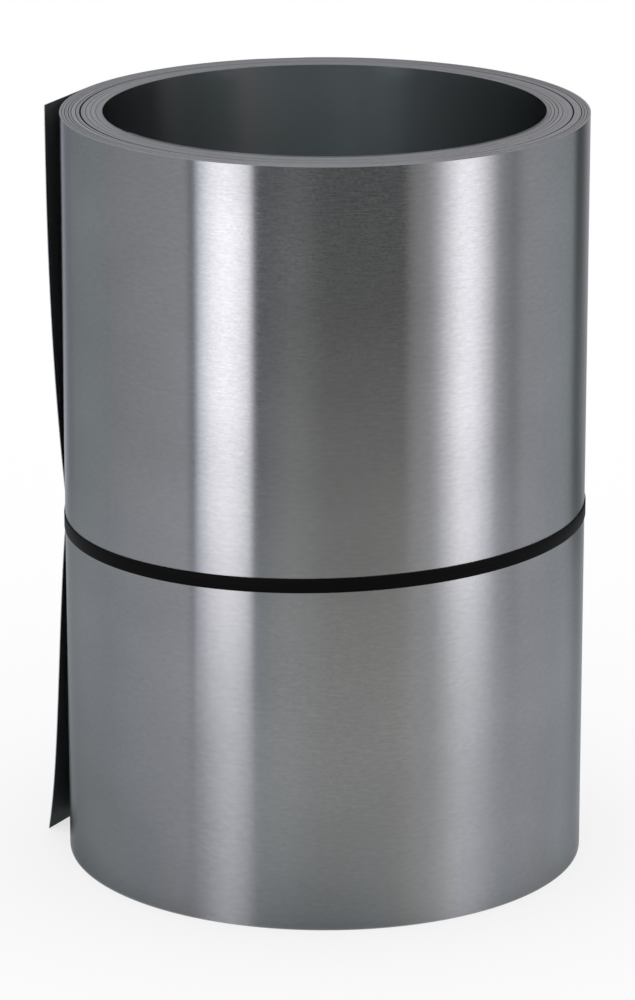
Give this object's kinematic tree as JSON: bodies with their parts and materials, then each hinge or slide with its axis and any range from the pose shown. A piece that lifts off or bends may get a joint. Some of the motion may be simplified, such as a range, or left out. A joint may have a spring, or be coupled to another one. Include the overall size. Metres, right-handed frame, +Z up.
{
  "type": "coil of zinc sheet",
  "caption": "Sheet metal rolled into an upright hollow coil with a round bore, its free end sprung off the side, held by one flat strap.",
  "frame": {"origin": "centre of the bore at the end that the coil stands on", "axes": "+Z up along the bore; -Y faces the viewer, and the free end of the sheet is on the -X side"},
  "size_m": [0.5024, 0.482, 0.7],
  "materials": {
    "zinc": "bright rolled zinc, grey, with a fine grain along the sheet",
    "strap": "black plastic strapping, satin"
  },
  "bodies": {
    "root": {"zinc_coil": "zinc", "strap": "strap"}
  },
  "joints": []
}
